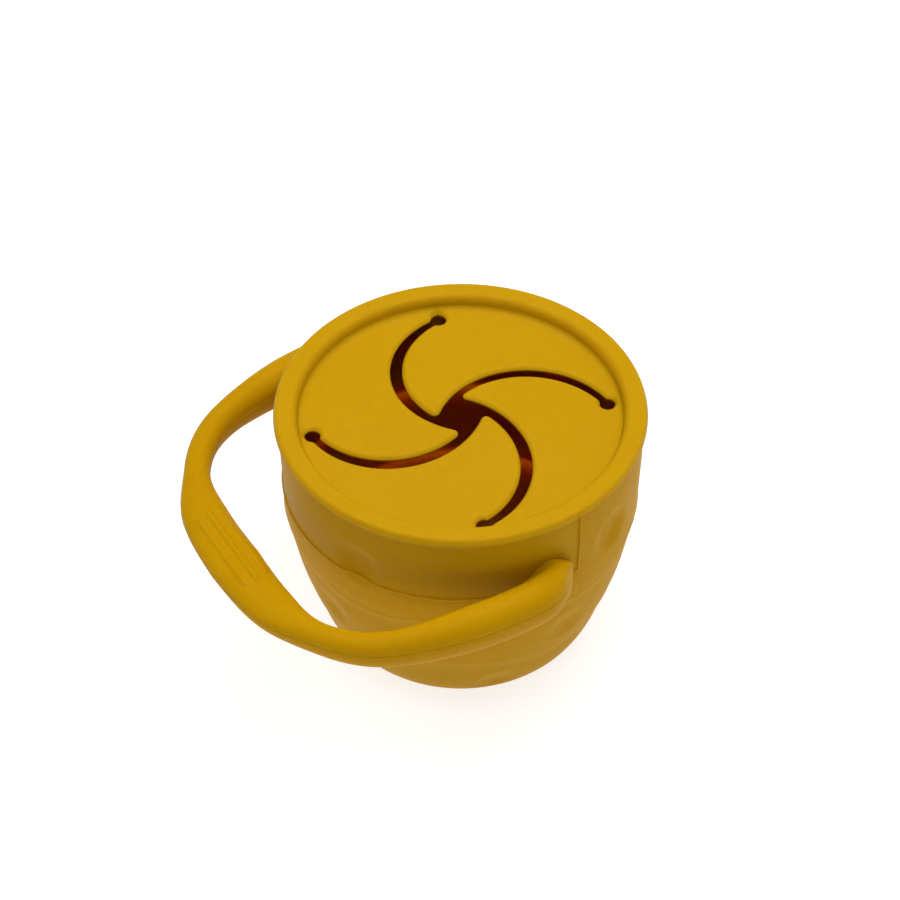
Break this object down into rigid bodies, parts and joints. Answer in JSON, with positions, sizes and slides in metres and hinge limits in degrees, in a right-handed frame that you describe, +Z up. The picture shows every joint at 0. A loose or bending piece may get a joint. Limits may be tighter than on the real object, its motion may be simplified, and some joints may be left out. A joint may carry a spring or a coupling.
{
  "type": "toddler snack container",
  "caption": "Soft silicone snack cup with an integral loop handle and a push-in lid whose membrane is cut into curved flaps, so a small hand reaches in and snacks stay in.",
  "frame": {"origin": "centre of the flat base, on the axis of the cup", "axes": "+Z up along the axis of the cup, the loop handle reaches out along -X"},
  "size_m": [0.1161, 0.1096, 0.0696],
  "materials": {
    "cup_silicone": "matt mustard silicone with a fine moulded grain",
    "lid_silicone": "matt mustard silicone with a fine moulded grain"
  },
  "bodies": {
    "cup": {"cup": "cup_silicone", "handle": "cup_silicone"},
    "lid": {"lid": "lid_silicone"},
    "flap_1": {"flap_1": "lid_silicone"},
    "flap_2": {"flap_2": "lid_silicone"},
    "flap_3": {"flap_3": "lid_silicone"},
    "flap_4": {"flap_4": "lid_silicone"}
  },
  "joints": [
    {"name": "lid_lift", "type": "slide", "parent": "cup", "child": "lid", "axis": [0, 0, 1], "range_m": [0, 0.035]},
    {"name": "flap_1_bend", "type": "hinge", "parent": "lid", "child": "flap_1", "pos_m": [0.01025, -0.02259, 0.0649], "axis": [-0.9107, -0.4131, 0], "range_deg": [-42, 70], "stiffness_Nm_per_rad": 0.02},
    {"name": "flap_2_bend", "type": "hinge", "parent": "lid", "child": "flap_2", "pos_m": [-0.02259, -0.01025, 0.0649], "axis": [-0.4131, 0.9107, 0], "range_deg": [-42, 70], "stiffness_Nm_per_rad": 0.02},
    {"name": "flap_3_bend", "type": "hinge", "parent": "lid", "child": "flap_3", "pos_m": [-0.01025, 0.02259, 0.0649], "axis": [0.9107, 0.4131, 0], "range_deg": [-42, 70], "stiffness_Nm_per_rad": 0.02},
    {"name": "flap_4_bend", "type": "hinge", "parent": "lid", "child": "flap_4", "pos_m": [0.02259, 0.01025, 0.0649], "axis": [0.4131, -0.9107, 0], "range_deg": [-42, 70], "stiffness_Nm_per_rad": 0.02}
  ]
}
